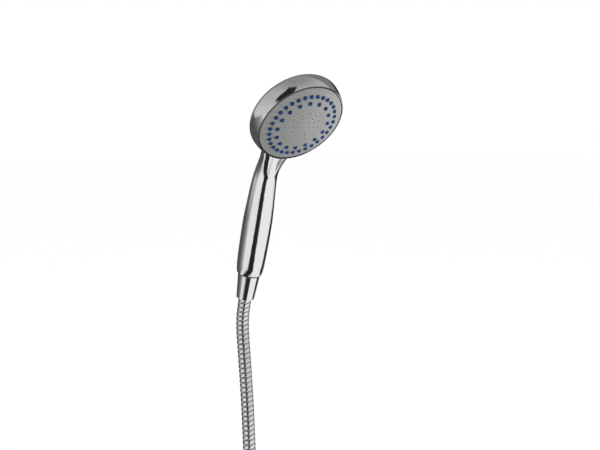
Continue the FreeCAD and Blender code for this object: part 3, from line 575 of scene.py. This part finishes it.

# %% [markdown]
# The hose's strip is stainless steel, duller than the chrome. Its grooves get a dark painted shade,
# because hardly any light comes out of them.

# %% Steel strip
STRIP_COLOUR = (0.80, 0.80, 0.80)
GROOVE_SHADE_COLOUR = (0.05, 0.05, 0.05)

strip = Finish("steel_strip", Metallic=1.0)
groove_depth = strip.node("ShaderNodeAttribute", {"attribute_name": "groove"}, output="Fac")
# Painted shade: the strip turns near-black deep in the grooves.
strip.set("Base Color", strip.mix(groove_depth, STRIP_COLOUR, GROOVE_SHADE_COLOUR))
scuffs = strip.between(0.4, 0.7, strip.noise(90.0))
strip.set("Roughness", 0.16 + groove_depth * 0.35 + scuffs * 0.08)
wear(spiral_hose, strip)
print("steel strip: spiral_hose")

# %% [markdown]
# The spray face is moulded in a plain grey with a satin skin. A very fine grain, too small to see
# as bumps, is what spreads its highlights. A function makes every moulded plastic, since they
# differ only in colour, gloss and grain.

# %% Moulded face
SKIN_GRAIN = 2600.0  # patches in a metre
FINE_GRAIN = 0.02 * MM
COARSE_GRAIN = 0.04 * MM


def make_moulded(name, colour, roughness, grain):
    plastic = Finish(name)
    cloud = plastic.between(0.35, 0.7, plastic.noise(40.0))
    darker = tuple(0.93 * part for part in colour)
    plastic.set("Base Color", plastic.mix(cloud, colour, darker))
    plastic.set("Roughness", roughness + cloud * 0.06)
    plastic.bump(plastic.noise(SKIN_GRAIN, 1.0), grain)
    return plastic


face_grey = make_moulded("face_grey", (0.262, 0.264, 0.259), 0.38, FINE_GRAIN)
for name in ("face_plate", "centre_disc"):
    wear(nodes[name], face_grey)
print("moulded grey: face_plate, centre_disc")

# %% [markdown]
# The nozzles are soft rubber, so that lime can be rubbed off them. They are a deep blue that is
# a little paler where the rubber is thin and worn, and slightly less shiny than the face.

# %% Nozzle rubber
DEEP_BLUE = (0.001, 0.040, 0.150)
WORN_BLUE = (0.003, 0.058, 0.20)

nozzle_blue = Finish("nozzle_blue", Specular_IOR_Level=0.35)
blush = nozzle_blue.between(0.35, 0.7, nozzle_blue.noise(120.0))
nozzle_blue.set("Base Color", nozzle_blue.mix(blush, DEEP_BLUE, WORN_BLUE))
nozzle_blue.set("Roughness", 0.42 + blush * 0.1)
wear(nodes["nozzle_mat"], nozzle_blue)
print("blue rubber: nozzle_mat")

# %% [markdown]
# Most of the other pieces sit inside and only show when the head is taken apart: white and
# grey-blue plastics that carry the water, black rubber seals, steel springs and screws, brass
# ferrules. The black strap round the coil and the brass rim under the far nut are in plain view.
# Each kind gets one finish, and a small table says which pieces wear it.

# %% Hidden pieces
white_plastic = make_moulded("water_way_white", (0.80, 0.80, 0.78), 0.4, FINE_GRAIN)
slide_plastic = make_moulded("slide_grey_blue", (0.22, 0.32, 0.42), 0.35, FINE_GRAIN)
tie_black = make_moulded("tie_black", (0.03, 0.03, 0.03), 0.45, COARSE_GRAIN)
rubber = make_moulded("seal_rubber", (0.025, 0.025, 0.025), 0.6, COARSE_GRAIN)


def make_metal(name, colour, roughness):
    metal = Finish(name, Metallic=1.0)
    cloud = metal.between(0.35, 0.7, metal.noise(150.0, 3.0))
    darker = tuple(0.85 * part for part in colour)
    metal.set("Base Color", metal.mix(cloud, colour, darker))
    metal.set("Roughness", roughness + cloud * 0.12)
    return metal


spring_steel = make_metal("spring_steel", (0.60, 0.60, 0.58), 0.25)
ferrule_brass = make_metal("ferrule_brass", (0.78, 0.60, 0.32), 0.25)
wearers = {
    white_plastic: ("manifold", "waterway_tube", "inlet_connector", "chamber_plate"),
    slide_plastic: ("distributor", "turbine", "swivel_ring", "flow_limiter"),
    rubber: ("connector_seal", "tube_seals", "port_seal", "top_washer", "end_washer"),
    spring_steel: (
        "click_spring", "port_spring", "pivot_screw", "pivot_washer", "manifold_screws",
        "turbine_axle", "filter_screen",
    ),
    ferrule_brass: ("top_ferrule", "end_ferrule"),
    tie_black: ("coil_tie",),
}
for finish, names in wearers.items():
    for name in names:
        wear(nodes[name], finish)
print("materials:", len(bpy.data.materials))

# %% [markdown]
# The studio's floor is a plain, very pale plane a little below the coil, and it keeps the soft
# shadow of the object. It gets a little glow that only the camera sees, so that it meets the
# white behind it without a line and without more light on the object.

# %% Floor
FLOOR_GAP = 1.5 * MM
FLOOR_SIZE = 30.0
FLOOR_GLOW = 0.335

floor_height = cad_box[0].z - FLOOR_GAP
bpy.ops.object.select_all(action="DESELECT")
bpy.ops.mesh.primitive_plane_add(size=FLOOR_SIZE, location=(0, 0, floor_height))
floor = bpy.context.object
floor.name = "floor"
floor_paint = Finish("pale_floor", Roughness=1.0, Specular_IOR_Level=0.0, Emission_Strength=1.0)
floor_paint.set("Base Color", (0.94, 0.94, 0.94, 1.0))
glow = floor_paint.node("ShaderNodeLightPath", output="Is Camera Ray") * FLOOR_GLOW
floor_paint.set("Emission Color", floor_paint.grey(glow))
wear(floor, floor_paint)
floor.visible_glossy = False
print("floor at", round(floor_height, 4), "m")

# %% [markdown]
# An even, white surround lights everything from all sides at a plain level. To the camera it is
# pure white, and so it would be to a mirror or through glass, if nothing stood before it.

# %% Surround
SURROUND_LEVEL = 0.7

world = bpy.data.worlds.new("surround")
bpy.context.scene.world = world
world.use_nodes = True
surround = Tree(world.node_tree)
background = world.node_tree.nodes["Background"]
seen_by = ("Is Camera Ray", "Is Glossy Ray", "Is Transmission Ray")
rays = [surround.node("ShaderNodeLightPath", output=kind) for kind in seen_by]
seen = rays[0] + rays[1] + rays[2]
surround.feed(background.inputs["Strength"], SURROUND_LEVEL + seen * (1.0 - SURROUND_LEVEL))
background.inputs["Color"].default_value = (1.0, 1.0, 1.0, 1.0)
print("surround level:", SURROUND_LEVEL)

# %% [markdown]
# Two lamps give the light a direction. A small key lamp close in front of the spray face makes it
# paler towards the lamp, and a large, weak fill stands high on the camera's left. Neither shows
# in the chrome, where a bare lamp would be a hard white spot.

# %% Lamps
KEY_PLACE = (0.14, -0.173, 0.094)
FILL_PLACE = (-1.5, -1.2, 1.2)
FILL_AIM = (0, 0, 0.1)


def add_lamp(name, place, aim, size, power):
    lamp_data = bpy.data.lights.new(name, "AREA")
    lamp_data.shape = "DISK"
    lamp_data.size = size
    lamp_data.energy = power
    lamp = bpy.data.objects.new(name, lamp_data)
    lamp.location = place
    lamp.rotation_euler = (Vector(aim) - Vector(place)).to_track_quat("-Z", "Y").to_euler()
    lamp.visible_glossy = False
    lamp.visible_camera = False
    bpy.context.scene.collection.objects.link(lamp)


add_lamp("key", KEY_PLACE, HEAD_CENTRE, size=0.08, power=0.24)
add_lamp("fill", FILL_PLACE, FILL_AIM, size=1.4, power=6.0)
print("lamps:", len(bpy.data.lights))

# %% [markdown]
# Chrome only mirrors, so a product studio wraps it in a tent whose walls carry a few painted
# panels. Only reflections see this tent. Its paint is worked out from the direction of each point:
# the bearing in degrees, 0 behind the camera and growing to the right as the camera sees it, the
# height in degrees above the horizon, and the depth below it.

# %% Light tent
TENT_RADIUS = 3.0
IN_DEGREES = 180 / math.pi


def add_tent():
    bpy.ops.object.select_all(action="DESELECT")
    bpy.ops.mesh.primitive_uv_sphere_add(
        segments=48, ring_count=24, radius=TENT_RADIUS, location=(0, 0, 0)
    )
    tent = bpy.context.object
    tent.name = "tent"
    tent.rotation_euler.z = math.radians(-CAMERA_AZIMUTH)
    tent.visible_camera = False
    tent.visible_diffuse = False
    tent.visible_transmission = False
    tent.visible_shadow = False
    return tent


tent = add_tent()
paint = Finish("tent_paint", Roughness=1.0, Specular_IOR_Level=0.0, Emission_Strength=1.0)
paint.set("Base Color", (0.0, 0.0, 0.0, 1.0))
x, y, z = paint.axes()
bearing = paint.maths("ARCTAN2", x, y * -1) * IN_DEGREES
height = paint.maths("ARCSINE", z / TENT_RADIUS) * IN_DEGREES
depth = height * -1
print("tent of radius", TENT_RADIUS, "m")

# %% [markdown]
# The paint starts with two greys above the horizon: a dim wall behind the object, and a brighter
# ceiling in front, which falls off with height. `painted_over` lays each later layer over the
# shade that is there, as far as a mask lets it.

# %% Wall and ceiling
WALL = 0.20
CEILING = 0.60


def painted_over(shade, mask, level):
    """The shade with one level laid over it, as far as the mask says."""
    return shade + mask * (level - shade)


wall = WALL + paint.between(55, 80, height) * 0.12
ceiling = CEILING - paint.between(0, 40, height) * 0.14 - paint.between(40, 80, height) * 0.19
front = paint.within(-109, 132, 8, bearing + paint.between(0, 14, height) * 12)
shade = painted_over(wall, front, ceiling)
print("wall", WALL, "and ceiling", CEILING)

# %% [markdown]
# Below the horizon stand two white panels. The one on the left fades towards the back, which
# gives the handle its soft dark edge, and a low panel joins it at the foot. The one on the right
# is even and ends at a clean edge.

# %% White panels
BACK_SHADE = 0.085
NEARER_GAIN = 0.20
NEAREST_GAIN = 0.57
LOW_PANEL = 0.82
RIGHT_PANEL = 0.92

behind = paint.between(100, 112, bearing * -1)
lower = paint.between(-2, 4, depth + behind * 4)
nearer = paint.between(-118, -78, bearing) * NEARER_GAIN
nearest = paint.between(-88, -60, bearing) * NEAREST_GAIN
ramp = BACK_SHADE + nearer + nearest
low_edge = paint.between(-4, 4, bearing + depth * 2 + 45)
low_panel = low_edge * paint.between(22, 28, depth) * LOW_PANEL
left = paint.maths("MAXIMUM", ramp, low_panel)
shade = painted_over(shade, lower * (1 - paint.between(-20, -12, bearing)), left)
right_end = paint.between(30, 38, depth) * 20 + 116
right = paint.between(20, 28, bearing) * (1 - paint.between(-4, 4, bearing - right_end))
shade = painted_over(shade, paint.between(8, 16, depth) * right, RIGHT_PANEL)
brightest_left = BACK_SHADE + NEARER_GAIN + NEAREST_GAIN
print("left panel up to", round(brightest_left, 3), "and right panel", RIGHT_PANEL)

# %% [markdown]
# Chrome looks like metal only with some black in it. Two dark screens stand by the wall behind
# the object, with a paler corner below one of them, and a dark table lies under it.

# %% Dark screens and table
DIM = 0.10
SCREEN = 0.03
CORNER = 0.30
BLACK = 0.02

back_left = paint.within(-168, -107, 8, bearing) * (1 - paint.between(2, 10, height))
shade = painted_over(shade, back_left * (1 - lower), DIM)
leaning_edge = bearing - height * 0.9 + paint.between(-4, 8, height) * 16
back_right = paint.within(141, 166, 6, leaning_edge) * paint.within(-34, 26, 5, height)
shade = painted_over(shade, back_right, SCREEN)
corner = paint.within(112, 146, 8, bearing) * paint.within(-68, -44, 6, height)
shade = painted_over(shade, corner, CORNER)
table_right = 20 + paint.between(36, 46, depth) * 6 - paint.between(46, 62, depth) * 52
table_right = table_right - paint.between(62, 72, depth) * 50
table_left = paint.maths("MAXIMUM", paint.between(-100, -90, bearing), paint.between(64, 70, depth))
table = table_left * (1 - paint.between(-5, 5, bearing - table_right))
table = table * paint.between(33, 42, depth)
shade = painted_over(shade, table, BLACK)
print("dark screens", DIM, "and", SCREEN, "and table", BLACK)

# %% [markdown]
# The last layer is the slot that the camera looks through. Between the two panels it draws the dark
# line down the handle. Its upper half begins further to the left, and the head mirrors that half as
# a dark patch.

# %% Camera slot
low_slot = paint.between(-19, -11, bearing + paint.between(26, 38, depth) * 9)
low_slot = low_slot * (1 - paint.between(-6, 6, bearing - table_right))
low_slot = low_slot * paint.within(-60, 36, 6, height)
lean = bearing + 26 - paint.between(28, 62, height) * 22
high_slot = paint.within(-17, 17, 6, lean) * paint.within(24, 62, 10, height)
shade = painted_over(shade, paint.maths("MAXIMUM", low_slot, high_slot), BLACK)
paint.set("Emission Color", paint.grey(shade))
wear(tent, paint)
print("the tent's paint has", len(paint.nodes), "nodes")

# %% [markdown]
# Last comes the view setting: the view transform is Standard.

# %% Finish
scene = bpy.context.scene
scene.view_settings.view_transform = "Standard"
